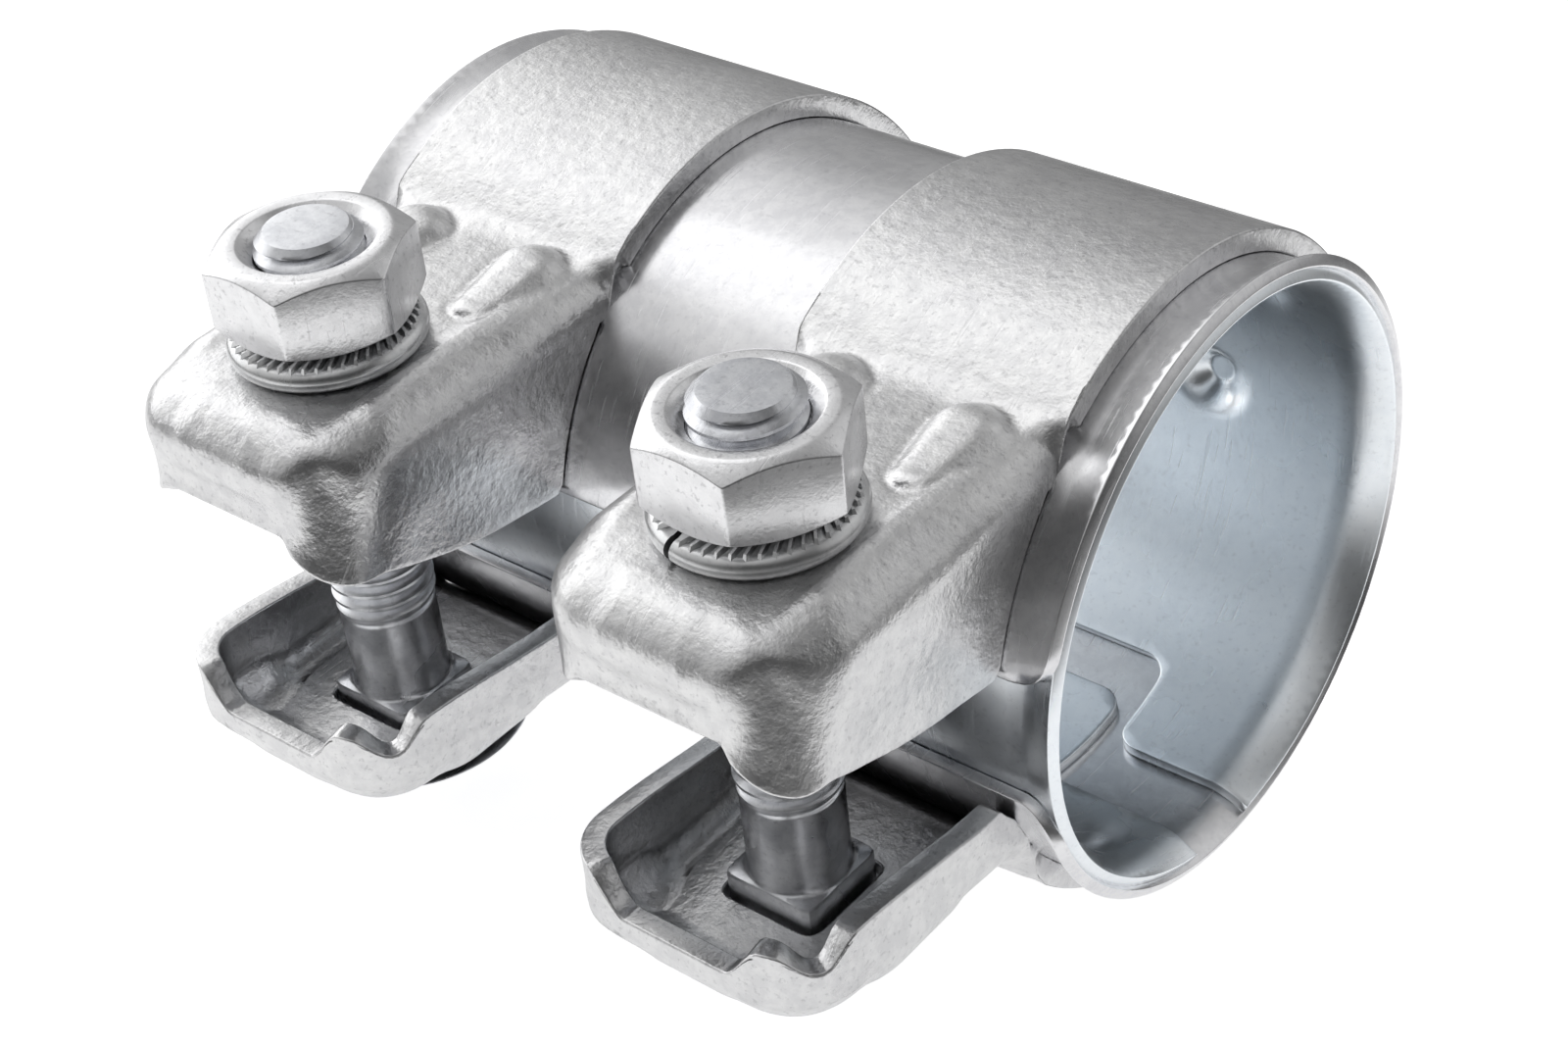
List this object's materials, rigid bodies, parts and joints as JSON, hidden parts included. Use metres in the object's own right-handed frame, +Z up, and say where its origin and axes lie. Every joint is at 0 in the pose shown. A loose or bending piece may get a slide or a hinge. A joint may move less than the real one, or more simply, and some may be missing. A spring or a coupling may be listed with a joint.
{
  "type": "exhaust pipe connector",
  "caption": "Short slit double-wall steel sleeve with a bolted clamp near each end, joining two exhaust pipes end to end.",
  "frame": {"origin": "on the tube's axis, midway between its two open ends", "axes": "+X along the tube towards the front clamp; the bolts are on the -Y side; +Z up, with the part lying on its two straps and the lower bolt's head, so the bolts lean about 13.7 degrees towards -Y"},
  "size_m": [0.09, 0.0945, 0.064],
  "materials": {
    "zinc_sheet": "zinc plated, satin",
    "liner_sheet": "zinc plated, satin",
    "zinc_clamp": "zinc plated, fine orange peel",
    "bolt_steel": "zinc plated",
    "nut_steel": "zinc plated",
    "washer_steel": "zinc plated"
  },
  "bodies": {
    "shell": {"outer_sleeve": "zinc_sheet", "inner_liner": "liner_sheet", "front_clamp": "zinc_clamp", "rear_clamp": "zinc_clamp", "front_washer": "washer_steel", "rear_washer": "washer_steel"},
    "front_bolt": {"front_bolt": "bolt_steel"},
    "rear_bolt": {"rear_bolt": "bolt_steel"},
    "front_nut": {"front_nut": "nut_steel"},
    "rear_nut": {"rear_nut": "nut_steel"}
  },
  "joints": [
    {"name": "front_nut_turn", "type": "hinge", "parent": "shell", "child": "front_nut", "pos_m": [0.02515, -0.03983, -0.00971], "axis": [0, -0.2368, 0.9716], "range_deg": [0, 1200]},
    {"name": "front_bolt_slide", "type": "slide", "parent": "shell", "child": "front_bolt", "axis": [0, -0.2368, 0.9716], "range_m": [-0.0045, 0]},
    {"name": "rear_nut_turn", "type": "hinge", "parent": "shell", "child": "rear_nut", "pos_m": [-0.02515, -0.03983, -0.00971], "axis": [0, -0.2368, 0.9716], "range_deg": [0, 1200]},
    {"name": "rear_bolt_slide", "type": "slide", "parent": "shell", "child": "rear_bolt", "axis": [0, -0.2368, 0.9716], "range_m": [-0.0045, 0]}
  ],
  "couplings": [
    {"joint": "front_nut_turn", "follows": "front_bolt_slide", "rad_per_m": -4188.8},
    {"joint": "rear_nut_turn", "follows": "rear_bolt_slide", "rad_per_m": -4188.8}
  ]
}
